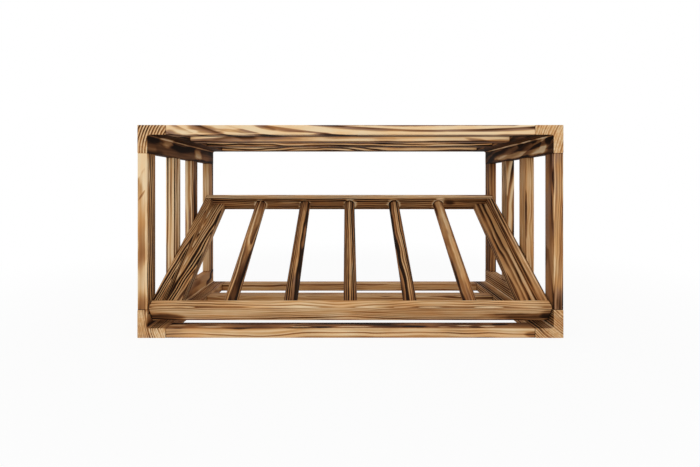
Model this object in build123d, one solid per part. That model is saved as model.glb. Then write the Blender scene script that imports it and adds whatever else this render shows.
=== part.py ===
from build123d import *
import math
import os

# Wine rack: an open box of L-shaped corner rails and slats, with a sloping tray of round rods inside.
# Millimetres. +X to the right, +Y to the back, +Z up.
# The origin is the middle of the box's footprint, on the surface that it stands on.

# --- Driving dimensions: the box ---
width = 600.0
depth = 300.0
height = 300.0
board = 13.5                # thickness of the slats, the corner rails' flanges and the tray's rails
flange = 39.5               # width of a corner rail's two flanges, measured from the outside
slat_width = 27.0           # the top, the bottom and both walls have four slats each
middle_gap = 56.0           # between the two inner slats of each side
eased_edge = 1.0            # rounding of the long edges
inner_corner = 3.0          # rounding in the corner rails' inner corner

# --- Driving dimensions: the tray ---
tray_slope = 31.0           # degrees
tray_rail_depth = 26.5      # square to the slope
tray_floor_gap = 7.0        # under the front rail, above the bottom slats
tray_back_gap = 44.5        # from the tray's upper back edge to the back of the box
tray_side_gap = 1.5         # between the tray and each wall
bottle_bays = 6
rod_diameter = 20.0
rod_floor = 2.0             # wood left under a rod's hole, to the tray rail's lower face
rod_bite = 7.0              # how deep a rod stands in the front and back rails
ledge_reach = 36.0          # the side rails' ledge, measured from their outer face
ledge_corner = 2.0          # rounding in the side rails' inner corner
end_bay_trim = 15.3         # how much narrower the bay beside a ledge is than one between two rods

# --- Driving dimensions: fasteners and fits ---
dowel_diameter = 6.0
dowel_length = 30.0
dowel_edge = 7.0            # from a slat's long edge to the axis of the dowel beside it
tray_dowel_edge = 8.0       # the same, from the top or bottom face of the tray's rails
tray_dowel_bite = 9.0       # how deep a tray dowel stands in the front or back rail
screw_diameter = 4.0
screw_head_diameter = 8.0
screw_bite = 11.0           # how deep a screw stands in the tray's side rail
screw_slots = (4.4, 0.9, 1.6)   # length, width and depth of the cross in a screw's head
wood_fit = 0.1              # added to the diameter of a hole for a dowel, rod or screw
end_fit = 0.5               # left free past the end of a dowel, rod or screw

# --- Worked out from the above ---
outer_slat = (depth - slat_width) / 2
inner_slat = (middle_gap + slat_width) / 2
slat_centres = [-outer_slat, -inner_slat, inner_slat, outer_slat]
cross_slat_length = width - 2 * flange
wall_slat_length = height - 2 * flange

slope = math.radians(tray_slope)
tray_width = width - 2 * board - 2 * tray_side_gap
tray_length = (depth - tray_back_gap) / math.cos(slope)
tray_front_height = board + tray_floor_gap + tray_rail_depth * math.cos(slope)
tray_frame = Location((0, -depth / 2, tray_front_height), (tray_slope, 0, 0))
rod_pitch = (tray_width - 2 * ledge_reach + 2 * end_bay_trim) / bottle_bays
rod_drop = tray_rail_depth - rod_floor - (rod_diameter + wood_fit) / 2
rod_places = [(i - bottle_bays / 2) * rod_pitch for i in range(1, bottle_bays)]

os.makedirs("parts", exist_ok=True)


# --- Shapes that several pieces share ---

def l_section(foot, upright, inner_radius):
    """An L with its outer corner at the origin, its foot along +X and its upright along +Y."""
    corners = [(0, 0), (foot, 0), (foot, board), (board, board), (board, upright), (0, upright)]
    section = make_face(Polyline(*corners, close=True))
    by_distance = section.vertices().sort_by_distance((board, board))
    section = fillet(by_distance[1:], eased_edge)
    inner = section.vertices().sort_by_distance((board, board))[0]
    return fillet(inner, inner_radius)


def slat(length, along):
    """A straight slat about the origin, its long edges eased, running along X or Z."""
    if along == Axis.X:
        piece = Box(length, slat_width, board)
    else:
        piece = Box(board, slat_width, length)
    return fillet(piece.edges().filter_by(along), eased_edge)


def peg(diameter, length, along):
    """A straight cylinder about the origin, along X, Y or Z."""
    turns = {Axis.X: Rotation(0, 90, 0), Axis.Y: Rotation(90, 0, 0), Axis.Z: Rotation(0, 0, 0)}
    return turns[along] * Cylinder(diameter / 2, length)


# --- Joints of the box: each returns the places of its two dowels ---

def dowel_places(x, y, z):
    """Two dowels side by side across the slat's width."""
    step = slat_width / 2 - dowel_edge
    return [Pos(x, y - step, z), Pos(x, y + step, z)]


def cross_joint(side, level, y):
    """Where a top or bottom slat's end meets a corner rail's level flange."""
    z = board / 2 if level < 0 else height - board / 2
    return dowel_places(side * (width / 2 - flange), y, z)


def wall_joint(side, level, y):
    """Where a wall slat's end meets a corner rail's upright flange."""
    z = flange if level < 0 else height - flange
    return dowel_places(side * (width / 2 - board / 2), y, z)


def dowels(places, along):
    return [place * peg(dowel_diameter, dowel_length, along) for place in places]


def dowel_holes(places, along):
    return [place * peg(dowel_diameter + wood_fit, dowel_length + 2 * end_fit, along) for place in places]


# --- Pieces of the box ---

def corner_rail(side, level):
    """L-shaped rail along one long edge of the box, with the dowel holes of all its slats."""
    section = l_section(flange, flange, inner_corner)
    lower_left = Plane(origin=(-width / 2, -depth / 2, 0), x_dir=(1, 0, 0), z_dir=(0, -1, 0))
    rail = extrude(lower_left * section, -depth)
    if side > 0:
        rail = mirror(rail, about=Plane.YZ)
    if level > 0:
        rail = mirror(rail, about=Plane.XY.offset(height / 2))
    for y in slat_centres:
        rail -= dowel_holes(cross_joint(side, level, y), Axis.X)
        rail -= dowel_holes(wall_joint(side, level, y), Axis.Z)
    return rail


def cross_slat(level, y):
    """Slat across the top or the bottom, between two corner rails."""
    z = board / 2 if level < 0 else height - board / 2
    piece = Pos(0, y, z) * slat(cross_slat_length, Axis.X)
    for side in (-1, 1):
        piece -= dowel_holes(cross_joint(side, level, y), Axis.X)
    return piece


def wall_slat(side, y):
    """Upright slat of a side wall, between two corner rails."""
    piece = Pos(side * (width / 2 - board / 2), y, height / 2) * slat(wall_slat_length, Axis.Z)
    for level in (-1, 1):
        piece -= dowel_holes(wall_joint(side, level, y), Axis.Z)
    for place in screw_places(side):
        piece -= place * screw_hole()
    return piece


# --- Screws that hold the tray, from outside through the middle slats of each wall ---

def screw_places(side):
    """One screw in each wall slat but the outer two, at half the depth of the tray's side rail."""
    places = []
    half_depth = tray_rail_depth / 2
    for y in slat_centres[1:-1]:
        along_slope = (y + depth / 2 - half_depth * math.sin(slope)) / math.cos(slope)
        z = tray_front_height + along_slope * math.sin(slope) - half_depth * math.cos(slope)
        turn = Rotation(0, 90, 0) if side < 0 else Rotation(0, -90, 0)
        places.append(Pos(side * width / 2, y, z) * turn)
    return places


def screw_body(fit, end_room):
    """Countersunk head and shank, the head's face at the origin and the point along +Z."""
    shank_radius = (screw_diameter + fit) / 2
    head_radius = (screw_head_diameter + fit) / 2
    cone_depth = head_radius - shank_radius
    length = board + tray_side_gap + screw_bite + end_room
    bottom_up = (Align.CENTER, Align.CENTER, Align.MIN)
    head = Cone(head_radius, shank_radius, cone_depth, align=bottom_up)
    point = Pos(0, 0, length - shank_radius) * Cone(shank_radius, 0, shank_radius, align=bottom_up)
    shank = Cylinder(shank_radius, length - shank_radius, align=bottom_up)
    return head + shank + point


def screw():
    """Countersunk wood screw with a cross in its head."""
    slot_length, slot_width, slot_depth = screw_slots
    body = screw_body(0, 0)
    body -= Box(slot_length, slot_width, 2 * slot_depth)
    body -= Box(slot_width, slot_length, 2 * slot_depth)
    return body


def screw_hole():
    return screw_body(wood_fit, end_fit)


# --- Pieces of the tray, in its own frame: +X across, +Y up the slope, +Z out of its top face ---

def tray_corner_places(side, end):
    """The two dowels of one corner, one above the other."""
    x = side * (tray_width / 2 - board / 2)
    reach = board - tray_dowel_bite + dowel_length / 2
    y = reach if end < 0 else tray_length - reach
    return [Pos(x, y, z) for z in (-tray_dowel_edge, tray_dowel_edge - tray_rail_depth)]


def rod(x):
    """Round rod from the front rail to the back rail."""
    length = tray_length - 2 * (board - rod_bite)
    return Pos(x, tray_length / 2, -rod_drop) * peg(rod_diameter, length, Axis.Y)


def rod_hole(x):
    length = tray_length - 2 * (board - rod_bite - end_fit)
    return Pos(x, tray_length / 2, -rod_drop) * peg(rod_diameter + wood_fit, length, Axis.Y)


def tray_end_rail(end):
    """Front or back rail across the tray, with blind holes for the rods and the corner dowels."""
    y = board / 2 if end < 0 else tray_length - board / 2
    rail = Box(tray_width, board, tray_rail_depth)
    rail = Pos(0, y, -tray_rail_depth / 2) * fillet(rail.edges().filter_by(Axis.X), eased_edge)
    for x in rod_places:
        rail -= rod_hole(x)
    for side in (-1, 1):
        rail -= dowel_holes(tray_corner_places(side, end), Axis.Y)
    return tray_frame * rail


def tray_side_rail(side):
    """L-shaped side rail, its ledge inwards along its lower edge, between the end rails."""
    section = l_section(ledge_reach, tray_rail_depth, ledge_corner)
    corner = (-tray_width / 2, board, -tray_rail_depth)
    lower_left = Plane(origin=corner, x_dir=(1, 0, 0), z_dir=(0, -1, 0))
    rail = extrude(lower_left * section, -(tray_length - 2 * board))
    if side > 0:
        rail = mirror(rail, about=Plane.YZ)
    for end in (-1, 1):
        rail -= dowel_holes(tray_corner_places(side, end), Axis.Y)
    rail = tray_frame * rail
    for place in screw_places(side):
        rail -= place * screw_hole()
    return rail


# --- All the nodes ---

def box_nodes():
    nodes = {}
    sides = {"left": -1, "right": 1}
    levels = {"top": 1, "bottom": -1}
    for level_name, level in levels.items():
        for side_name, side in sides.items():
            nodes[f"{level_name}_{side_name}_corner_rail"] = corner_rail(side, level)
    for number, y in enumerate(slat_centres, start=1):
        for level_name, level in levels.items():
            nodes[f"{level_name}_slat_{number}"] = cross_slat(level, y)
        for side_name, side in sides.items():
            nodes[f"{side_name}_slat_{number}"] = wall_slat(side, y)
    for level_name, level in levels.items():
        places = [place for y in slat_centres for side in (-1, 1) for place in cross_joint(side, level, y)]
        nodes[f"{level_name}_slat_dowels"] = Compound(children=dowels(places, Axis.X))
    for side_name, side in sides.items():
        places = [place for y in slat_centres for level in (-1, 1) for place in wall_joint(side, level, y)]
        nodes[f"{side_name}_slat_dowels"] = Compound(children=dowels(places, Axis.Z))
        nodes[f"tray_screws_{side_name}"] = Compound(children=[place * screw() for place in screw_places(side)])
    return nodes


def tray_nodes():
    nodes = {
        "tray_front_rail": tray_end_rail(-1),
        "tray_back_rail": tray_end_rail(1),
        "tray_left_rail": tray_side_rail(-1),
        "tray_right_rail": tray_side_rail(1),
    }
    for number, x in enumerate(rod_places, start=1):
        nodes[f"bottle_rod_{number}"] = tray_frame * rod(x)
    places = [place for side in (-1, 1) for end in (-1, 1) for place in tray_corner_places(side, end)]
    corner_dowels = [tray_frame * dowel for dowel in dowels(places, Axis.Y)]
    nodes["tray_corner_dowels"] = Compound(children=corner_dowels)
    return nodes


for name, shape in {**box_nodes(), **tray_nodes()}.items():
    export_step(shape, f"parts/{name}.step")
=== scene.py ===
"""Wine rack of flame-scorched pine: finishes for its pieces, and a plain studio to look at it in."""

import math

import bmesh
import bpy
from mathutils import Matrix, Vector


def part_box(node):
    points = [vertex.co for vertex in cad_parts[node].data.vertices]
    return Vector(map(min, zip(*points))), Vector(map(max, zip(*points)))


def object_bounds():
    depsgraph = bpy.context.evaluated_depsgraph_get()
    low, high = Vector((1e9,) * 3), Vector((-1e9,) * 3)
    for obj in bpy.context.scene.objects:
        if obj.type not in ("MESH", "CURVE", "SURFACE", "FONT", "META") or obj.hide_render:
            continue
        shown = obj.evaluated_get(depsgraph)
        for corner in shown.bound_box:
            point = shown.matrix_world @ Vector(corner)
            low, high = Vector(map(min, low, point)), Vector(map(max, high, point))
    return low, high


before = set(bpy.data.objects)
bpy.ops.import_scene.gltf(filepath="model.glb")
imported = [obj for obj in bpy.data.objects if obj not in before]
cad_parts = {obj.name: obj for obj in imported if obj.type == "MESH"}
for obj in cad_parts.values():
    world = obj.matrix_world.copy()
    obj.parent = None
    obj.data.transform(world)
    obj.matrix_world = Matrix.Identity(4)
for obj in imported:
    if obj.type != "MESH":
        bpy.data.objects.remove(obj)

bl_info = {
    "name": "Scorched Wine Rack",
    "version": (1, 0, 0),
    "blender": (4, 5, 0),
    "location": "View3D > Sidebar > Wine Rack",
    "description": "Dresses a slatted wine rack in flame-scorched pine and sets up a white studio",
    "category": "Object",
}

MM = 0.001

LOWEST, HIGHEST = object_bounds()
RODS = sorted(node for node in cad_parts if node.startswith("bottle_rod_"))
TRAY_SLOPE = math.radians(31)

RAIL_CORNER = 6 * MM        # from the middle of a corner rail's box to its inner corner
LEDGE_CORNER = 4.5 * MM     # from the middle of a tray side rail to the inner corner over its ledge

END_SCORCH = 45 * MM        # how far the stronger scorch reaches in from a board's ends
CUT_SKIN = (0.8 * MM, 0.3 * MM)     # from a board's end: where its cut skin begins, and where it is full
END_SEAM = (1.4 * MM, 0.6 * MM)     # the same for the dark line just before it: charred arris and painted shade of the joint
BARE_CORNER = (0.8 * MM, 2.6 * MM)  # from an inner corner: where its bare line starts to fade, and is gone
RUBBED_AND_SHADED_EDGE = (0.2 * MM, 1.6 * MM)  # the same for the tone of a long edge: rubbed lighter above, charred and painted shade below

WOOD_GLOSS = 0.07           # specular level of brushed, thinly oiled wood
RELIEF_STRENGTH = 0.7

WHITE = (1, 1, 1)
FLOOR_REACH = 8             # from the middle of the floor to its edges
FLOOR_GAP = 0.1 * MM        # between the floor and the rack
FLOOR_TURNS_WHITE = (0.4, 1.0)      # from the middle: where it starts to, and where it is


# --- Settings that a user would change ---

def colour(name, description, value):
    return bpy.props.FloatVectorProperty(
        name=name, description=description, default=value, subtype="COLOR", size=3, min=0, max=1
    )


class RackWood(bpy.types.PropertyGroup):
    """Colours and figure of the scorched pine."""

    cream: colour("Cream", "Early wood that the flame left alone", (0.93, 0.72, 0.45))
    honey: colour("Honey", "Lightly toasted wood", (0.64, 0.375, 0.162))
    toast: colour("Toast", "Well toasted, orange brown wood", (0.4, 0.19, 0.072))
    brown: colour("Brown", "Strongly scorched wood", (0.16, 0.068, 0.026))
    umber: colour("Umber", "Wood scorched almost black", (0.052, 0.0215, 0.0085))
    char: colour("Char", "Charred late wood", (0.02, 0.0095, 0.0045))
    ember: colour("Ember", "Cast of the wood that glowed", (1.0, 0.84, 0.68))
    smoke: colour("Smoke", "Soot that brushing left in the scorched wood", (0.3, 0.19, 0.14))
    beech: colour("Beech", "Plain wood of the dowels", (0.66, 0.45, 0.26))
    ring_relief: bpy.props.FloatProperty(
        name="Ring relief", description="Depth that brushing cuts between two rings",
        default=0.25 * MM, subtype="DISTANCE", unit="LENGTH",
    )
    roughness: bpy.props.FloatProperty(
        name="Roughness", description="Roughness of the oiled wood", default=0.5, subtype="FACTOR",
    )


class RackMetal(bpy.types.PropertyGroup):
    """Finish of the screws."""

    zinc: colour("Zinc", "Yellow passivated zinc plating", (0.62, 0.53, 0.3))
    roughness: bpy.props.FloatProperty(
        name="Roughness", description="Roughness of the plating", default=0.32, subtype="FACTOR",
    )


class RackStage(bpy.types.PropertyGroup):
    """Studio: floor, lamps and camera."""

    floor: colour("Floor", "Colour of the floor", (0.86, 0.86, 0.86))
    ambient: bpy.props.FloatProperty(
        name="Ambient light", description="Strength of the white light from all around", default=0.62,
    )
    front_lamp: bpy.props.FloatProperty(
        name="Front lamp", description="Power of the large lamp in front", default=12.5, unit="POWER",
    )
    top_lamp: bpy.props.FloatProperty(
        name="Top lamp", description="Power of the lamp overhead", default=4.5, unit="POWER",
    )
    distance: bpy.props.FloatProperty(
        name="Distance", description="From the camera to the front of the rack",
        default=0.605, subtype="DISTANCE", unit="LENGTH",
    )
    eye_height: bpy.props.FloatProperty(
        name="Eye height", description="Height of the camera above the floor",
        default=0.2136, subtype="DISTANCE", unit="LENGTH",
    )
    sideways: bpy.props.FloatProperty(
        name="Sideways", description="From the rack's middle to the camera, to the right",
        default=-0.0048, subtype="DISTANCE", unit="LENGTH",
    )
    focal_length: bpy.props.FloatProperty(
        name="Focal length", description="In millimetres, on a 36 mm wide sensor", default=22.095,
    )
    lens_shift: bpy.props.FloatVectorProperty(
        name="Lens shift", description="To the right and up, as shares of the picture's width",
        default=(0.00425, -0.0674), size=2,
    )


# --- Shader trees ---

class Value:
    """A socket of a shader tree that Python's arithmetic works on."""

    def __init__(self, tree, socket):
        self.tree = tree
        self.socket = socket

    def math(self, operation, *others):
        sockets = dict(enumerate((self, *others)))
        return self.tree.make("ShaderNodeMath", {"operation": operation}, sockets)[0]

    def __add__(self, other):
        return self.math("ADD", other)

    def __sub__(self, other):
        return self.math("SUBTRACT", other)

    def __rsub__(self, other):
        return self.tree.make("ShaderNodeMath", {"operation": "SUBTRACT"}, {0: other, 1: self})[0]

    def __mul__(self, other):
        return self.math("MULTIPLY", other)

    def __truediv__(self, other):
        return self.math("DIVIDE", other)

    def __abs__(self):
        return self.math("ABSOLUTE")

    __radd__ = __add__
    __rmul__ = __mul__


class Node:
    """A shader node whose outputs are read as Values, by name or place."""

    def __init__(self, tree, node):
        self.tree = tree
        self.node = node

    def __getitem__(self, key):
        return Value(self.tree, self.node.outputs[key])


class Tree:
    """The shader tree of one new material or world."""

    def __init__(self, owner):
        owner.use_nodes = True
        self.owner = owner
        self.nodes = owner.node_tree.nodes
        self.links = owner.node_tree.links
        self.nodes.clear()

    def make(self, kind, settings=None, sockets=None):
        """A node of that kind: its settings first, then the values or links of its sockets."""
        node = self.nodes.new(kind)
        for key, value in (settings or {}).items():
            if key == "stops":
                self.set_stops(node.color_ramp, value)
            else:
                setattr(node, key, value)
        for key, value in (sockets or {}).items():
            if isinstance(value, Value):
                self.links.new(value.socket, node.inputs[key])
            else:
                node.inputs[key].default_value = value
        return Node(self, node)

    @staticmethod
    def set_stops(ramp, stops):
        while len(ramp.elements) < len(stops):
            ramp.elements.new(0.5)
        for element, (place, value) in zip(ramp.elements, stops):
            element.position = place
            element.color = (*value, 1)

    def vector(self, x, y, z):
        return self.make("ShaderNodeCombineXYZ", None, {0: x, 1: y, 2: z})[0]

    def noise(self, vector, detail=2.0, roughness=0.5, distortion=0.0):
        """Smooth noise about 0, mostly within -1 to 1."""
        sockets = {
            "Vector": vector, "Scale": 1.0, "Detail": detail, "Roughness": roughness,
            "Distortion": distortion,
        }
        return self.make("ShaderNodeTexNoise", None, sockets)[0] * 4 - 2

    def mixed(self, blend, tint, colour, share):
        """A tint with a colour laid over it, by that share."""
        settings = {"data_type": "RGBA", "blend_type": blend}
        factor, first, second, result = 0, 6, 7, 2      # the places of the colour sockets
        sockets = {factor: share, first: tint, second: (*colour, 1)}
        return self.make("ShaderNodeMix", settings, sockets)[result]

    def random(self, value):
        return self.make("ShaderNodeTexWhiteNoise", {"noise_dimensions": "1D"}, {"W": value})[0]

    def step(self, value, low, high):
        """0 below low, 1 above high, smooth in between."""
        settings = {"interpolation_type": "SMOOTHSTEP"}
        sockets = {"Value": value, "From Min": low, "From Max": high}
        return self.make("ShaderNodeMapRange", settings, sockets)[0]

    def clamp(self, value):
        return self.make("ShaderNodeClamp", None, {0: value})[0]

    def seen(self):
        """1 for the eye, also by way of gloss or glass, and 0 for light that falls on things."""
        rays = self.make("ShaderNodeLightPath")
        seen = rays["Is Camera Ray"].math("MAXIMUM", rays["Is Glossy Ray"])
        return seen.math("MAXIMUM", rays["Is Transmission Ray"])

    def finish(self, shader, output="ShaderNodeOutputMaterial"):
        self.make(output, None, {"Surface": shader})
        return self.owner


def new_tree(name):
    return Tree(bpy.data.materials.new(name))


# --- Boards: how each one was sawn from its log, how the flame passed over it, and where shade and highlights are painted on it ---

class Board:
    """A sawn piece of wood. Lengths are in metres. Scorch goes from 0, bare, to 1, charred; painted shade
    and highlights are added to it in places.
    """

    def __init__(
        self, grain, pith=(0.05, 0.02), lean=(0, 0), bow=(0, 0), swerve=(0, 0), ring=0.004, wave=0.004,
        early=0.2, uneven=0.75, burn_and_shade=0.4, patches=0.12, contrast=0.6, facing=(0, 0, 0), ends=0.1,
        cut_burn=0.85, cut_contrast=0.3, smoke=0.3, tilt=0.0, corner=None, licks_and_painted_light=(), seed=0,
    ):
        self.grain = grain          # the axis that the grain runs along: X, Y or Z
        self.pith = pith            # the log's heart, from the board's middle, along the other two axes
        self.lean = lean            # slope of the heart against the board, along the same axes
        self.bow = bow              # how the heart curves, likewise
        self.swerve = swerve        # where the heart starts to turn up to a knot, and how fast it does
        self.ring = ring            # width of a growth ring
        self.wave = wave            # how far the rings wander
        self.early = early          # share of a ring that is pale early wood
        self.uneven = uneven        # how much the rings differ in width and strength
        self.burn_and_shade = burn_and_shade            # mean scorch; on the rods it holds painted shadow as well
        self.patches = patches      # how far patches of flame differ from the mean
        self.contrast = contrast    # scorch of late wood less that of early wood
        self.facing = facing        # way that the darker faces look, as long as their added darkness: scorch, and on the rods painted shade too
        self.ends = ends            # added scorch near both ends
        self.cut_burn = cut_burn    # mean scorch of the two end faces
        self.cut_contrast = cut_contrast    # contrast on them
        self.smoke = smoke          # soot that was left in patches, from 0, none, to 1, nearly everywhere
        self.tilt = tilt            # slope about the X axis
        self.corner = corner        # inner corner that the flame missed, along the other two axes
        self.licks_and_painted_light = licks_and_painted_light          # where the flame stayed or missed, and spots of painted highlight and shade: middle and reach in mm, turn about Y in degrees, and added scorch
                                    # Y in degrees, and added scorch
        self.seed = seed            # tells its figure from those of the other boards


class Place:
    """Where each point of a board lies: along the grain, and across it both ways, from the middle."""

    def __init__(self, t, board, low, high):
        coordinates = t.make("ShaderNodeTexCoord")
        settings = {"vector_type": "TEXTURE"}
        sockets = {
            "Vector": coordinates["Object"], "Location": (low + high) / 2, "Rotation": (board.tilt, 0, 0),
        }
        self.tree = t
        self.normal = coordinates["Normal"]
        self.local = t.make("ShaderNodeMapping", settings, sockets)[0]
        parts = t.make("ShaderNodeSeparateXYZ", None, {0: self.local})
        order = {"X": (0, 1, 2), "Y": (1, 0, 2), "Z": (2, 0, 1)}[board.grain]
        self.along, self.across, self.up = (parts[i] for i in order)
        self.height = parts[2]
        size = high - low
        tilt = board.tilt if board.grain == "Y" else 0
        self.half_length = size[order[0]] / 2 / math.cos(tilt)
        self.half_width = size[order[1]] / 2
        self.half_depth = size[order[2]] / 2
        self.seed = board.seed * 3.7

    def noise(self, long, short, detail=2.0, roughness=0.5, distortion=0.0, offset=0.0):
        """Noise that is stretched along the grain, with so many waves to the metre along and across."""
        up = self.up * short
        if offset:
            up = up + offset
        waves = self.tree.vector(self.along * long + self.seed, self.across * short, up)
        return self.tree.noise(waves, detail, roughness, distortion)

    def near_end(self, begins, full):
        """0 up to where it begins, that far from both ends of the board, and 1 from where it is full."""
        return self.tree.step(abs(self.along), self.half_length - begins, self.half_length - full)


def growth_rings(t, board, place):
    """Late wood of the rings around the log's heart, from 0 to 1, and the strength of each ring."""
    along = place.along
    side_x = place.across - board.pith[0] - along * board.lean[0] - along * along * board.bow[0]
    side_y = place.up - board.pith[1] - along * board.lean[1] - along * along * board.bow[1]
    past_swerve = (along - board.swerve[0]).math("MINIMUM", 0.0)
    side_y = side_y - past_swerve * past_swerve * board.swerve[1]
    wander = place.noise(4, 12, 1.0)
    ripple = place.noise(18, 50, 1.0)
    radius = (side_x * side_x + side_y * side_y).math("SQRT")
    radius = radius + wander * board.wave + ripple * (0.25 * board.wave)

    rings = radius / board.ring
    seed = place.seed
    uneven = t.noise(t.vector(rings * 0.27 + seed, seed, 0.5), 2.0, 0.7)
    above_zero = 40     # rings more, so that their count stays above 0
    rings = rings + uneven * board.uneven + above_zero
    phase = rings.math("FRACT")
    late = t.step(phase, board.early, board.early + 0.45) * (1 - t.step(phase, 0.88, 1.0))

    years = t.noise(t.vector(rings * 0.13 + seed, seed, 7.5), 0.0)
    fading = place.noise(9, 60, 1.0, offset=3.0)
    bold = t.random(rings.math("FLOOR") + seed)
    strength = 0.6 + (bold * bold - 0.35) * board.uneven + 0.2 * years + 0.3 * fading
    return late, strength


def bare_corner(t, board, place, fibre):
    """1 along the inner corner that the flame missed."""
    off_x = place.across - board.corner[0]
    off_y = place.up - board.corner[1]
    off = (off_x * off_x + off_y * off_y).math("SQRT")
    return 1 - t.step(off + fibre * (0.3 * MM), *BARE_CORNER)


def scorch_and_light_spot(t, place, spot, ragged, patches):
    """Tone that one spot adds inside a ragged outline: scorch where the flame licked, and on some boards a
    painted highlight or painted shade.
    """
    middle, reach, turn, amount = spot
    sockets = {
        "Vector": place.local, "Location": Vector(middle) * MM, "Rotation": (0, math.radians(turn), 0),
        "Scale": Vector(reach) * MM,
    }
    off = t.make("ShaderNodeMapping", {"vector_type": "TEXTURE"}, sockets)[0]
    off = t.make("ShaderNodeVectorMath", {"operation": "LENGTH"}, {0: off})["Value"]
    full, gone = 0.45, 1.1
    return (1 - t.step(off + ragged * 0.35 + patches * 0.15, full, gone)) * amount


def edge_tone(t, board, place, streak, cut):
    """Long edges: the upper ones are rubbed lighter, and the lower ones darker, partly charred and partly
    painted shade.
    """
    across_off = place.half_width - abs(place.across)
    up_off = place.half_depth - abs(place.up)
    edge_off = across_off.math("MAXIMUM", up_off)
    edge = (1 - t.step(edge_off + streak * (0.6 * MM), *RUBBED_AND_SHADED_EDGE)) * (1 - cut)
    # Upright boards and upper edges are rubbed lighter; lower edges get char and painted shade.
    rubbed_and_shaded = 1.0 if board.grain == "Z" else t.step(place.height, -MM, MM) * 1.7 - 0.7
    return edge * rubbed_and_shaded * -0.12


def scorched_pine(name, board, low, high, wood):
    """Solid pine with growth rings, brushed and scorched, with the painted light and shade that its board
    asks for, for the board that fills low to high.
    """
    t = new_tree(name)
    place = Place(t, board, low, high)
    late, strength = growth_rings(t, board, place)
    fibre = place.noise(14, 850, 2.0, 0.6)
    streak = place.noise(4, 230, 2.0, 0.6)      # the fine lines that brushing leaves
    patches = place.noise(8, 24, 3.0, 0.5, 0.3)
    ragged = place.noise(25, 110)
    cut = place.near_end(*CUT_SKIN)

    # Flame: patchy along the board, stronger on the faces and ends that it met. On the rods the facing
    # paints shade too, and some spots paint highlights and shade.
    sockets = {0: place.normal, 1: board.facing}
    flame_and_shade_facing = t.make("ShaderNodeVectorMath", {"operation": "DOT_PRODUCT"}, sockets)["Value"]
    burn_and_shade = board.burn_and_shade + flame_and_shade_facing.math("MAXIMUM", 0.0) + patches * board.patches
    burn_and_shade = burn_and_shade + place.near_end(END_SCORCH, 0) * board.ends
    if board.corner:
        burn_and_shade = burn_and_shade * (1 - 0.45 * bare_corner(t, board, place, fibre))
    burn_and_shade = burn_and_shade * (1 - cut) + cut * board.cut_burn
    contrast = board.contrast * (0.5 + t.clamp(burn_and_shade)) * (1 - cut) + cut * board.cut_contrast
    for spot in board.licks_and_painted_light:
        burn_and_shade = burn_and_shade + scorch_and_light_spot(t, place, spot, ragged, patches)

    edges = edge_tone(t, board, place, streak, cut)
    # Dark line at each end where the board meets the next: charred arris and painted shade of the joint.
    seam = place.near_end(*END_SEAM) * (1 - cut) * 0.25
    scorch_and_shade = burn_and_shade + (late * strength - 0.3) * contrast + streak * 0.07 + fibre * 0.04 + edges + seam

    # Colour: bare to charred, with painted shade and highlights counted in the scorch, redder where the
    # wood glowed, and greyer where soot stayed in it.
    stops = [
        (0.0, wood.cream), (0.27, wood.honey), (0.47, wood.toast), (0.7, wood.brown), (0.86, wood.umber),
        (1.0, wood.char),
    ]
    tint = t.make("ShaderNodeValToRGB", {"stops": stops}, {0: t.clamp(scorch_and_shade)})[0]
    glow = place.noise(22, 75, offset=9.0)
    tint = t.mixed("MULTIPLY", tint, wood.ember, t.clamp(0.35 + 0.6 * glow + 0.3 * streak))
    sooty = t.step(patches + ragged * 0.5 + 2.2 * board.smoke, 0.9, 1.9) * t.step(scorch_and_shade, 0.1, 0.45)
    sooty = sooty * (1 - t.step(scorch_and_shade, 0.5, 0.75)) * 0.7
    tint = t.mixed("MIX", tint, wood.smoke, sooty)

    relief = fibre * 0.1 - late * strength
    sockets = {"Strength": RELIEF_STRENGTH, "Distance": wood.ring_relief, "Height": relief}
    bump = t.make("ShaderNodeBump", None, sockets)[0]
    sockets = {
        "Base Color": tint, "Roughness": wood.roughness + 0.25 * t.clamp(scorch_and_shade),
        "Specular IOR Level": WOOD_GLOSS, "Normal": bump,
    }
    return t.finish(t.make("ShaderNodeBsdfPrincipled", None, sockets)[0])


# --- Plain beech and zinc ---

def cloudy(t, waves, detail, colour, darkest):
    """A cloudy tone from 0 to 1, and the colour, down to a darkest share of itself where the tone is 0."""
    sockets = {0: t.make("ShaderNodeTexCoord")["Object"], "Scale": waves}
    place = t.make("ShaderNodeVectorMath", {"operation": "SCALE"}, sockets)[0]
    tone = t.clamp(0.5 + 0.25 * t.noise(place, detail))
    stops = [(0.0, tuple(darkest * c for c in colour)), (1.0, colour)]
    tint = t.make("ShaderNodeValToRGB", {"stops": stops}, {0: tone})[0]
    return tone, tint


def plain_beech(wood):
    """Fine grained, unscorched wood of the dowels."""
    t = new_tree("plain_beech")
    tint = cloudy(t, 700.0, 3.0, wood.beech, 0.7)[1]
    return t.finish(t.make("ShaderNodeBsdfPrincipled", None, {"Base Color": tint, "Roughness": 0.6})[0])


def zinc_plate(metal):
    """Yellow passivated zinc, a little cloudy."""
    t = new_tree("zinc_plate")
    tone, tint = cloudy(t, 900.0, 2.0, metal.zinc, 0.75)
    sockets = {"Base Color": tint, "Metallic": 1.0, "Roughness": metal.roughness + 0.15 * tone}
    return t.finish(t.make("ShaderNodeBsdfPrincipled", None, sockets)[0])


# --- Dressing the pieces ---

def dress(node, material):
    """Gives a CAD node its finish."""
    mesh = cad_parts[node].data
    mesh.materials.clear()
    mesh.materials.append(material)


def dress_boards(boards):
    wood = bpy.context.scene.rack_wood
    for node, board in boards.items():
        low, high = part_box(node)
        dress(node, scorched_pine(f"scorched_pine_{node}", board, low, high, wood))


# --- Operators: one for each group of like pieces ---

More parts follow.
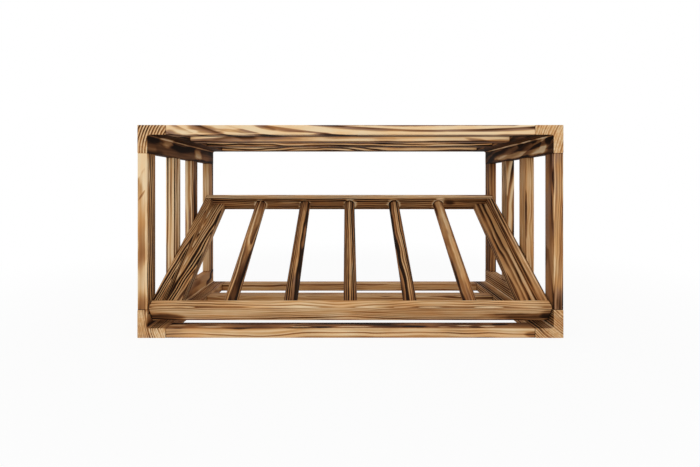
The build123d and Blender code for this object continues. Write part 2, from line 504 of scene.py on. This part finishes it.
class RACK_OT_corner_rails(bpy.types.Operator):
    """Finish the four L-shaped corner rails, end grain to the front"""

    bl_idname = "rack.corner_rails"
    bl_label = "Corner Rails"

    def execute(self, context):
        inner = RAIL_CORNER
        dress_boards({
            "top_left_corner_rail": Board(
                "Y", pith=(0.075, -0.022), ring=0.0041, wave=0.002, uneven=0.15, burn_and_shade=0.45, patches=0.15,
                contrast=0.4, facing=(0.4, 0, -0.44), cut_burn=0.42, cut_contrast=1.0, smoke=0,
                corner=(-inner, inner), seed=1,
                licks_and_painted_light=(
                    ((-6, -84, 4), (8, 36, 11), 0, -0.65),
                    ((-6, -134, -13), (7, 18, 8), 0, -0.12),
                    ((-6, 58, -6.5), (7, 23, 11), 0, -0.5),
                    ((-5.5, 0, 5.5), (1.8, 170, 1.8), 0, -0.28),
                ),
            ),
            "top_right_corner_rail": Board(
                "Y", pith=(0.12, -0.04), lean=(0.05, 0), ring=0.0036, wave=0.002, burn_and_shade=0.47, patches=0.18,
                contrast=0.35, facing=(-0.34, 0, -0.43), cut_burn=0.22, cut_contrast=0.32, smoke=0,
                corner=(inner, inner), seed=2,
                licks_and_painted_light=(
                    ((6, -20, -13), (7, 150, 6.5), 0, -0.62),
                    ((6, -117, -5), (7, 10, 12), 0, -0.4),
                    ((6, -85, 4), (7, 12, 6), 0, 0.45),
                    ((6, -32, 2), (7, 14, 6), 0, 0.4),
                    ((6, -136, 1), (7, 8, 7), 0, 0.35),
                    ((5.5, 0, 5.5), (1.8, 170, 1.8), 0, -0.55),
                ),
            ),
            "bottom_left_corner_rail": Board(
                "Y", pith=(0.09, 0.01), ring=0.003, wave=0.006, burn_and_shade=0.5, patches=0.2,
                cut_burn=0.33, cut_contrast=0.52, corner=(-inner, -inner), seed=3,
                licks_and_painted_light=(
                    ((9, -150, -13), (14, 3, 9), 0, -0.14),
                ),
            ),
            "bottom_right_corner_rail": Board(
                "Y", pith=(0.1, 0.1), ring=0.003, wave=0.002, burn_and_shade=0.5, patches=0.2, contrast=0.8,
                cut_burn=0.33, cut_contrast=0.5, corner=(inner, -inner), seed=4,
            ),
        })
        return {"FINISHED"}


class RACK_OT_cross_slats(bpy.types.Operator):
    """Finish the slats across the top and the bottom"""

    bl_idname = "rack.cross_slats"
    bl_label = "Cross Slats"

    def execute(self, context):
        dress_boards({
            "top_slat_1": Board(
                "X", pith=(0.02, -0.1226), lean=(0, -0.084), bow=(0, 0.31), swerve=(-0.1, 0.8),
                ring=0.0134, wave=0.0012, early=0.4, uneven=0.1, burn_and_shade=0.17, patches=0.1, contrast=1.15,
                facing=(0, 0, -0.6), ends=0, smoke=0.8, seed=5,
                licks_and_painted_light=(
                    ((-253, -13, -3.5), (17, 6, 5), 6, 0.5),
                    ((-205, -13, 0.5), (45, 6, 8.5), 18, 0.5),
                    ((-172, -13, 4.5), (24, 6, 3), 7, -0.35),
                    ((-165, -13, -2.5), (30, 6, 2.4), 9, 0.3),
                    ((-122, -13, 2.8), (18, 6, 2.6), 12, 0.3),
                    ((-86, -13, -2.2), (26, 6, 2.4), 4.5, 0.25),
                    ((-36, -13, -5.5), (17, 6, 2.4), 0, 0.35),
                    ((-45, -13, 6.5), (45, 6, 2), 3, 0.25),
                    ((120, -13, 7.2), (190, 6, 2.5), 0, 0.85),
                    ((262, -13, 4), (14, 6, 4), -4, 0.2),
                    ((150, -13, -4), (140, 6, 2), 0, -0.25),
                    ((104, -13, -1.6), (30, 6, 1.6), 0, 0.25),
                    # On the underside: a painted highlight along the front half, and painted shade behind
                    # it.
                    ((0, -11, -7), (300, 8, 4), 0, -0.5),
                    ((0, 7, -7), (320, 12, 4), 0, 0.6),
                ),
            ),
            "top_slat_2": Board(
                "X", pith=(0.03, -0.09), lean=(0, 0.02), bow=(0, -0.1), ring=0.011, wave=0.004,
                early=0.3, uneven=0.4, burn_and_shade=0.26, contrast=0.9, facing=(0, 0, -0.48), smoke=0.5, seed=6,
                licks_and_painted_light=(
                    ((-225, -13, 1), (48, 6, 5), -8, -0.25),
                    ((-170, -13, 0), (26, 6, 9), 15, 0.3),
                    ((-125, -13, 3), (20, 6, 8), 0, 0.12),
                    ((-70, -13, 1), (50, 6, 5), 4, -0.2),
                    ((60, -13, -3), (30, 6, 4), 0, 0.15),
                    ((205, -13, -4), (26, 6, 4), 10, 0.3),
                ),
            ),
            "top_slat_3": Board(
                "X", pith=(0.02, -0.07), ring=0.004, wave=0.005, burn_and_shade=0.66, contrast=1.4,
                facing=(0, 0, -0.4), seed=7,
            ),
            "top_slat_4": Board(
                "X", pith=(0.03, -0.06), ring=0.0045, wave=0.005, burn_and_shade=0.64, contrast=1.4,
                facing=(0, 0, -0.4), seed=8,
            ),
            "bottom_slat_1": Board(
                "X", pith=(0, -0.03), lean=(0.01, 0.01), ring=0.0045, wave=0.005, burn_and_shade=0.26,
                patches=0.18, contrast=0.68, facing=(0, 0, 0.4), smoke=0.2, seed=9,
                licks_and_painted_light=(
                    ((-243, -12, 7), (16, 3, 3), 0, 0.45),
                    ((-155, -12, 7), (26, 2.5, 3), 0, 0.45),
                    ((-74, -11, 7), (20, 3, 3), 0, 0.5),
                    ((-205, 2, 7), (18, 4, 3), 0, 0.35),
                    ((0, 7, 7), (95, 6, 3), 0, 0.45),
                    ((-38, -8, 7), (18, 4, 3), 0, 0.5),
                    ((94, -5, 7), (24, 6, 3), 0, 0.5),
                    ((48, 2, 7), (24, 6, 3), 0, 0.25),
                    ((-70, -6, 7), (15, 2.5, 3), 0, -0.6),
                    ((2, -6, 7), (26, 2.2, 3), 0, -0.7),
                    ((132, -7, 7), (14, 2.5, 3), 0, -0.6),
                    ((163, -1, 7), (14, 2.2, 3), 0, -0.6),
                    ((196, -4, 7), (12, 2.5, 3), 0, -0.6),
                    ((-200, -7, 7), (24, 2.5, 3), 0, -0.5),
                    ((-252, 0, 7), (16, 4, 3), 0, -0.45),
                    ((180, -8, 7), (12, 3, 3), 0, 0.45),
                    ((216, 4, 7), (14, 5, 3), 0, 0.4),
                    ((258, -13.5, -2), (12, 4, 5), 0, 0.35),
                    ((185, -13.5, -6.5), (22, 4, 1.6), 0, 0.35),
                ),
            ),
            "bottom_slat_2": Board("X", pith=(0.05, 0.02), facing=(0, 0, 0.2), seed=10),
            "bottom_slat_3": Board("X", pith=(-0.04, 0.03), lean=(0.02, 0), seed=11),
            "bottom_slat_4": Board("X", pith=(0.02, -0.05), seed=12),
        })
        return {"FINISHED"}


class RACK_OT_wall_slats(bpy.types.Operator):
    """Finish the upright slats of both walls"""

    bl_idname = "rack.wall_slats"
    bl_label = "Wall Slats"

    def execute(self, context):
        dress_boards({
            "left_slat_1": Board(
                "Z", pith=(0.01, 0.06), lean=(0, 0.04), ring=0.005, wave=0.008, burn_and_shade=0.38, patches=0.14,
                contrast=1.1, facing=(0.27, 0, 0), seed=13,
                licks_and_painted_light=(
                    ((0, -14, 104), (12, 9, 62), -5, -0.35),
                    ((-1, -14, 90), (4, 8, 9), 0, 0.14),
                    ((0, -14, 52), (9, 8, 1.6), -57, 0.3),
                    ((6, -14, -40), (2.5, 8, 100), 0, -0.35),
                    ((-1, -14, -110), (7, 9, 25), 0, 0.1),
                ),
            ),
            "left_slat_2": Board(
                "Z", pith=(0.08, 0.03), ring=0.0048, wave=0.002, uneven=0.5, burn_and_shade=0.16, contrast=1.5,
                facing=(0.13, 0, 0), smoke=0, seed=14,
            ),
            "left_slat_3": Board(
                "Z", pith=(0.08, 0.02), lean=(0.02, 0), ring=0.0045, burn_and_shade=0.2, contrast=0.8,
                facing=(0.4, 0.2, 0), seed=15,
                licks_and_painted_light=(
                    ((-1, -13.5, 0), (6, 5, 200), 0, -0.3),
                ),
            ),
            "left_slat_4": Board(
                "Z", pith=(0.08, 0.03), ring=0.005, burn_and_shade=0.2, contrast=0.6, facing=(0.45, 0, 0), seed=16,
            ),
            "right_slat_1": Board(
                "Z", pith=(0.09, 0.04), lean=(0.02, 0), ring=0.0036, wave=0.007, burn_and_shade=0.46, patches=0.16,
                contrast=0.5, facing=(-0.22, 0, 0), smoke=0.6, seed=17,
                licks_and_painted_light=(
                    ((-6, -14, 40), (2, 8, 120), 0, -0.22),
                    ((3, -14, -20), (2, 8, 60), 2, 0.16),
                    ((6, -14, -40), (2, 6, 110), 0, 0.2),
                    ((2, -14, -98), (6, 6, 22), 0, 0.25),
                    ((-8, -8, 70), (3, 6, 50), 0, 0.2),
                ),
            ),
            "right_slat_2": Board(
                "Z", pith=(0.08, 0.06), ring=0.003, wave=0.005, burn_and_shade=0.38, patches=0.12, contrast=0.8,
                facing=(-0.1, 0, 0), seed=18,
                licks_and_painted_light=(
                    ((-6.5, -13, 16), (2.2, 3, 42), 0, 0.55),
                    ((-6.5, -13, -60), (2, 3, 40), 0, 0.35),
                ),
            ),
            "right_slat_3": Board(
                "Z", pith=(0.03, 0.05), lean=(0.05, 0), bow=(0.8, 0), ring=0.005, uneven=0.4, burn_and_shade=0.37,
                contrast=1.25, facing=(-0.1, 0, 0), seed=19,
            ),
            "right_slat_4": Board(
                "Z", pith=(0.06, 0.03), burn_and_shade=0.55, contrast=0.5, facing=(-0.2, 0, 0), seed=20,
            ),
        })
        return {"FINISHED"}


class RACK_OT_tray_rails(bpy.types.Operator):
    """Finish the four rails of the sloping tray"""

    bl_idname = "rack.tray_rails"
    bl_label = "Tray Rails"

    def execute(self, context):
        rims = []           # pale rims of the holes that the rods stand in
        for node in RODS:
            low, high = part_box(node)
            middle = (low[0] + high[0]) / 2
            rims.append(((middle / MM, -7, -1), (13.5, 4, 13.5), 0, -1.2))
        dress_boards({
            "tray_front_rail": Board(
                "X", pith=(0.06, -0.07), ring=0.0029, wave=0.004, burn_and_shade=0.31, patches=0.18, contrast=0.75,
                smoke=0, tilt=TRAY_SLOPE, seed=21,
                licks_and_painted_light=(
                    ((-270, -7, -6), (30, 8, 8), 0, 0.5),
                    ((255, -7, -6), (70, 8, 8), 0, 0.45),
                    ((284, -7, -2), (14, 8, 12), 0, 0.3),
                    ((60, -10, 3), (200, 4, 1.2), 0, 0.2),
                ),
            ),
            "tray_back_rail": Board(
                "X", pith=(0.05, 0.08), ring=0.0035, burn_and_shade=0.22, contrast=0.9, facing=(0, -0.42, -0.25),
                tilt=TRAY_SLOPE, seed=22,
                licks_and_painted_light=(
                    ((199, -7, 2), (13, 3, 7), 0, 0.35),
                    ((-120, -7, 4), (22, 4, 5), 0, -0.2),
                    *rims,
                ),
            ),
            "tray_left_rail": Board(
                "Y", pith=(0.04, 0.05), lean=(0.05, 0.04), ring=0.0026, wave=0.004, burn_and_shade=0.6, patches=0.16,
                contrast=1.1, tilt=TRAY_SLOPE, corner=(-LEDGE_CORNER, 0), seed=23,
            ),
            "tray_right_rail": Board(
                "Y", pith=(-0.04, 0.05), lean=(0.02, 0.02), ring=0.0046, wave=0.003, uneven=0.4, burn_and_shade=0.68,
                patches=0.18, contrast=1.1, smoke=0, tilt=TRAY_SLOPE, corner=(LEDGE_CORNER, 0), seed=24,
                licks_and_painted_light=(
                    ((17.5, 0, 13), (2, 200, 5), 0, 0.3),
                    ((12.5, -60, 13), (3, 110, 5), 0, -0.25),
                    ((5, 0, 13), (1.5, 200, 5), 0, 0.3),
                ),
            ),
        })
        return {"FINISHED"}


class RACK_OT_bottle_rods(bpy.types.Operator):
    """Finish the round rods that the bottles lie between"""

    bl_idname = "rack.bottle_rods"
    bl_label = "Bottle Rods"

    def execute(self, context):
        # The rods' faces that look down from the tray get painted shade, along with some scorch, through
        # their facing.
        down = Vector((0, math.sin(TRAY_SLOPE), -math.cos(TRAY_SLOPE)))
        scorch_and_shade = (0.56, 0.84, 0.74, 0.76, 0.66)     # from the left rod to the right one: scorch, and on the darker rods painted shadow of the bottles that lie on them
        boards = {}
        for number, node in enumerate(RODS):
            pith = (0.03 + 0.012 * number, 0.05 - 0.02 * number)
            boards[node] = Board(
                "Y", pith=pith, ring=0.0036, burn_and_shade=scorch_and_shade[number], contrast=0.7, facing=0.2 * down,
                tilt=TRAY_SLOPE, seed=30 + number,
                licks_and_painted_light=(
                    # painted shade where each rod goes into the back rail
                    ((0, 134, 5), (14, 5, 9), 0, 0.4),
                    # a painted highlight along each rod's top
                    ((0, 0, 10), (5, 170, 5), 0, -0.25),
                ),
            )
        dress_boards(boards)
        return {"FINISHED"}


class RACK_OT_dowels(bpy.types.Operator):
    """Finish the hidden dowels of all the joints"""

    bl_idname = "rack.dowels"
    bl_label = "Dowels"

    def execute(self, context):
        beech = plain_beech(context.scene.rack_wood)
        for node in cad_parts:
            if node.endswith("_dowels"):
                dress(node, beech)
        return {"FINISHED"}


class RACK_OT_screws(bpy.types.Operator):
    """Finish the screws that hold the tray"""

    bl_idname = "rack.screws"
    bl_label = "Tray Screws"

    def execute(self, context):
        zinc = zinc_plate(context.scene.rack_metal)
        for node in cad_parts:
            if node.startswith("tray_screws_"):
                dress(node, zinc)
        return {"FINISHED"}


class RACK_OT_stage(bpy.types.Operator):
    """Set up the floor, the lamps, the white surroundings and the camera"""

    bl_idname = "rack.stage"
    bl_label = "Studio"

    def execute(self, context):
        stage = context.scene.rack_stage
        self.floor(stage)
        self.surroundings(stage)
        width = HIGHEST[0] - LOWEST[0]
        in_front = (0.35 * width, -2.2, 1.3)
        overhead = (-0.9 * width, -0.5, 2.0)
        self.lamp("front_lamp", stage.front_lamp, in_front, size=1.8)
        self.lamp("top_lamp", stage.top_lamp, overhead, size=1.6)
        self.camera(context, stage)
        context.scene.view_settings.view_transform = "Standard"
        return {"FINISHED"}

    def floor(self, stage):
        """A wide floor that turns white away from the rack, and keeps the rack's shadow."""
        mesh = bpy.data.meshes.new("floor")
        shape = bmesh.new()
        bmesh.ops.create_grid(shape, x_segments=1, y_segments=1, size=FLOOR_REACH)
        bmesh.ops.translate(shape, vec=(0, 0, LOWEST[2] - FLOOR_GAP), verts=shape.verts)
        shape.to_mesh(mesh)
        shape.free()
        floor = bpy.data.objects.new("floor", mesh)
        bpy.context.collection.objects.link(floor)
        t = new_tree("studio_floor")
        place = t.make("ShaderNodeTexCoord")["Object"]
        away = t.make("ShaderNodeVectorMath", {"operation": "LENGTH"}, {0: place})["Value"]
        near, far = 0.92, 1.0       # shares of white: the rest of the floor takes light and shadow
        white = t.seen() * (near + (far - near) * t.step(away, *FLOOR_TURNS_WHITE))
        matt = t.make("ShaderNodeBsdfDiffuse", None, {"Color": (*stage.floor, 1)})[0]
        glow = t.make("ShaderNodeEmission", None, {"Color": (*WHITE, 1), "Strength": 1.0})[0]
        mix = t.make("ShaderNodeMixShader", None, {0: white, 1: matt, 2: glow})[0]
        mesh.materials.append(t.finish(mix))

    def surroundings(self, stage):
        """White to the eye and in reflections, and soft light from all around."""
        world = bpy.data.worlds.new("studio")
        bpy.context.scene.world = world
        t = Tree(world)
        soft = t.make("ShaderNodeBackground", None, {"Color": (*WHITE, 1), "Strength": stage.ambient})[0]
        white = t.make("ShaderNodeBackground", None, {"Color": (*WHITE, 1), "Strength": 1.0})[0]
        mix = t.make("ShaderNodeMixShader", None, {0: t.seen(), 1: soft, 2: white})[0]
        t.finish(mix, "ShaderNodeOutputWorld")

    def lamp(self, name, power, place, size):
        """A large square lamp that shines at the middle of the rack."""
        lamp = bpy.data.lights.new(name, "AREA")
        lamp.energy = power
        lamp.size = size
        item = bpy.data.objects.new(name, lamp)
        bpy.context.collection.objects.link(item)
        middle = (LOWEST + HIGHEST) / 2
        item.location = place
        item.rotation_euler = (Vector(place) - middle).to_track_quat("Z", "Y").to_euler()

    def camera(self, context, stage):
        """Straight at the front, a little above the middle of the rack."""
        lens = bpy.data.cameras.new("camera")
        lens.lens = stage.focal_length
        lens.sensor_width = 36
        lens.shift_x, lens.shift_y = stage.lens_shift
        camera = bpy.data.objects.new("camera", lens)
        bpy.context.collection.objects.link(camera)
        camera.location = (stage.sideways, LOWEST[1] - stage.distance, stage.eye_height)
        camera.rotation_euler = (math.radians(90), 0, 0)
        context.scene.camera = camera


class RACK_PT_sidebar(bpy.types.Panel):
    """Lists the steps that dress the rack, with their settings"""

    bl_idname = "RACK_PT_sidebar"
    bl_label = "Wine Rack"
    bl_space_type = "VIEW_3D"
    bl_region_type = "UI"
    bl_category = "Wine Rack"

    def draw(self, context):
        layout = self.layout
        for step in STEPS:
            layout.operator(step.bl_idname)
        for group in (context.scene.rack_wood, context.scene.rack_metal, context.scene.rack_stage):
            box = layout.box()
            for name in group.__annotations__:
                box.prop(group, name)


GROUPS = {"rack_wood": RackWood, "rack_metal": RackMetal, "rack_stage": RackStage}
STEPS = (
    RACK_OT_corner_rails, RACK_OT_cross_slats, RACK_OT_wall_slats, RACK_OT_tray_rails,
    RACK_OT_bottle_rods, RACK_OT_dowels, RACK_OT_screws, RACK_OT_stage,
)
CLASSES = (*GROUPS.values(), *STEPS, RACK_PT_sidebar)


def register():
    for item in CLASSES:
        bpy.utils.register_class(item)
    for name, group in GROUPS.items():
        setattr(bpy.types.Scene, name, bpy.props.PointerProperty(type=group))


def unregister():
    for name in GROUPS:
        delattr(bpy.types.Scene, name)
    for item in reversed(CLASSES):
        bpy.utils.unregister_class(item)


def main():
    register()
    bpy.ops.rack.corner_rails()
    bpy.ops.rack.cross_slats()
    bpy.ops.rack.wall_slats()
    bpy.ops.rack.tray_rails()
    bpy.ops.rack.bottle_rods()
    bpy.ops.rack.dowels()
    bpy.ops.rack.screws()
    bpy.ops.rack.stage()


if __name__ == "__main__":
    main()
